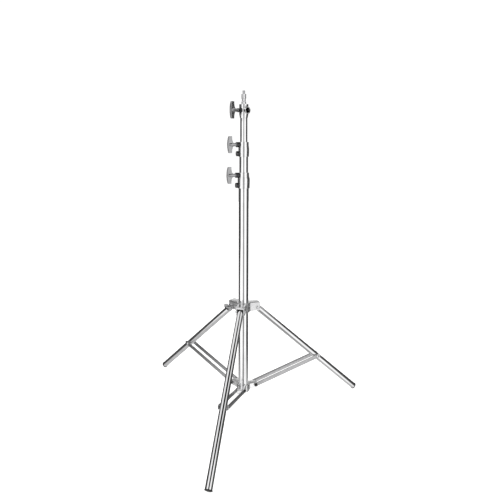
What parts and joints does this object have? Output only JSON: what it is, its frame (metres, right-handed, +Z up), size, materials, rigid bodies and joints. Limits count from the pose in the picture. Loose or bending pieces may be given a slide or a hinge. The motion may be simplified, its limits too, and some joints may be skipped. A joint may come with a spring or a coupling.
{
  "type": "light stand",
  "caption": "Folding light stand: tripod base on a sliding hub, telescoping steel column with wing-knob collars, and a socket head with a spigot.",
  "frame": {"origin": "on the floor, at the middle of the footprint's box, a little in front of the column", "axes": "+Z up the column, +X along the right-hand leg, collar knobs towards -X"},
  "size_m": [0.6891, 0.792, 1.119],
  "materials": {
    "tube": "polished steel",
    "casting": "satin cast",
    "knob": "satin cast",
    "strut": "brushed",
    "screw": "plated",
    "dark_screw": "blackened",
    "rubber": "matt",
    "nylon": "matt"
  },
  "bodies": {
    "column": {"lower_tube": "tube", "column_end_cap": "rubber", "lower_hub": "casting", "collar_1": "casting", "collar_1_pad": "nylon", "collar_1_fixing_screw": "dark_screw", "strut_pivot_bolt_right": "dark_screw", "strut_pivot_bolt_left": "dark_screw", "strut_pivot_bolt_front": "dark_screw"},
    "collar_1_knob": {"collar_1_knob": "knob", "collar_1_knob_screw": "screw"},
    "leg_hub": {"leg_hub": "casting", "hub_pad": "nylon", "leg_pivot_bolt_right": "screw", "leg_pivot_bolt_left": "screw", "leg_pivot_bolt_front": "screw"},
    "hub_knob": {"hub_knob": "knob", "hub_knob_screw": "screw"},
    "leg_right": {"leg_tube_right": "tube", "foot_cap_right": "rubber"},
    "strut_right": {"strut_bar_right_a": "strut", "strut_bar_right_b": "strut", "strut_rivet_right_a": "screw", "strut_rivet_right_b": "screw"},
    "leg_left": {"leg_tube_left": "tube", "foot_cap_left": "rubber"},
    "strut_left": {"strut_bar_left_a": "strut", "strut_bar_left_b": "strut", "strut_rivet_left_a": "screw", "strut_rivet_left_b": "screw"},
    "leg_front": {"leg_tube_front": "tube", "foot_cap_front": "rubber"},
    "strut_front": {"strut_bar_front_a": "strut", "strut_bar_front_b": "strut", "strut_rivet_front_a": "screw", "strut_rivet_front_b": "screw"},
    "riser_2_bush": {"riser_2_bush": "nylon"},
    "riser_2": {"riser_2_tube": "tube", "collar_2": "casting", "collar_2_pad": "nylon", "collar_2_fixing_screw": "dark_screw"},
    "collar_2_knob": {"collar_2_knob": "knob", "collar_2_knob_screw": "screw"},
    "riser_3_bush": {"riser_3_bush": "nylon"},
    "riser_3": {"riser_3_tube": "tube", "head": "casting"},
    "head_knob": {"head_knob": "knob", "head_knob_screw": "screw"},
    "spigot": {"spigot": "screw"}
  },
  "joints": [
    {"name": "leg_fold", "type": "slide", "parent": "column", "child": "leg_hub", "axis": [0, 0, 1], "range_m": [0, 0.283]},
    {"name": "leg_right_swing", "type": "hinge", "parent": "leg_hub", "child": "leg_right", "pos_m": [-0.06233, 0, 0.36541], "axis": [0, 1, 0], "range_deg": [0, 48.25]},
    {"name": "strut_right_swing", "type": "hinge", "parent": "column", "child": "strut_right", "pos_m": [-0.06703, 0, 0.081], "axis": [0, -1, 0], "range_deg": [0, 71.91]},
    {"name": "leg_left_swing", "type": "hinge", "parent": "leg_hub", "child": "leg_left", "pos_m": [-0.13433, 0.04157, 0.36541], "axis": [-0.866, -0.5, 0], "range_deg": [0, 48.25]},
    {"name": "strut_left_swing", "type": "hinge", "parent": "column", "child": "strut_left", "pos_m": [-0.13198, 0.0375, 0.081], "axis": [0.866, 0.5, 0], "range_deg": [0, 71.91]},
    {"name": "leg_front_swing", "type": "hinge", "parent": "leg_hub", "child": "leg_front", "pos_m": [-0.13433, -0.04157, 0.36541], "axis": [0.866, -0.5, 0], "range_deg": [0, 48.25]},
    {"name": "strut_front_swing", "type": "hinge", "parent": "column", "child": "strut_front", "pos_m": [-0.13198, -0.0375, 0.081], "axis": [-0.866, 0.5, 0], "range_deg": [0, 71.91]},
    {"name": "riser_2_slide", "type": "slide", "parent": "column", "child": "riser_2_bush", "axis": [0, 0, 1], "range_m": [-0.045, 0.58]},
    {"name": "riser_2_turn", "type": "hinge", "parent": "riser_2_bush", "child": "riser_2", "pos_m": [-0.11033, 0, 0.5], "axis": [0, 0, 1], "continuous": true},
    {"name": "riser_3_slide", "type": "slide", "parent": "riser_2", "child": "riser_3_bush", "axis": [0, 0, 1], "range_m": [-0.056, 0.58]},
    {"name": "riser_3_turn", "type": "hinge", "parent": "riser_3_bush", "child": "riser_3", "pos_m": [-0.11033, 0, 0.6], "axis": [0, 0, 1], "continuous": true},
    {"name": "spigot_pull", "type": "slide", "parent": "riser_3", "child": "spigot", "axis": [0, 0, 1], "range_m": [0, 0.058]},
    {"name": "hub_knob_turn", "type": "hinge", "parent": "leg_hub", "child": "hub_knob", "pos_m": [-0.14633, 0, 0.37241], "axis": [-1, 0, 0], "continuous": true},
    {"name": "collar_1_knob_turn", "type": "hinge", "parent": "column", "child": "collar_1_knob", "pos_m": [-0.14033, 0, 0.833], "axis": [-1, 0, 0], "continuous": true},
    {"name": "collar_2_knob_turn", "type": "hinge", "parent": "riser_2", "child": "collar_2_knob", "pos_m": [-0.13783, 0, 0.937], "axis": [-1, 0, 0], "continuous": true},
    {"name": "head_knob_turn", "type": "hinge", "parent": "riser_3", "child": "head_knob", "pos_m": [-0.13774, -0.0122, 1.052], "axis": [-0.9135, -0.4067, 0], "continuous": true}
  ],
  "couplings": [
    {"joint": "leg_right_swing", "follows": "leg_fold", "rad_per_m": 2.9726},
    {"joint": "strut_right_swing", "follows": "leg_fold", "rad_per_m": 4.4318},
    {"joint": "leg_left_swing", "follows": "leg_fold", "rad_per_m": 2.9726},
    {"joint": "strut_left_swing", "follows": "leg_fold", "rad_per_m": 4.4318},
    {"joint": "leg_front_swing", "follows": "leg_fold", "rad_per_m": 2.9726},
    {"joint": "strut_front_swing", "follows": "leg_fold", "rad_per_m": 4.4318}
  ]
}
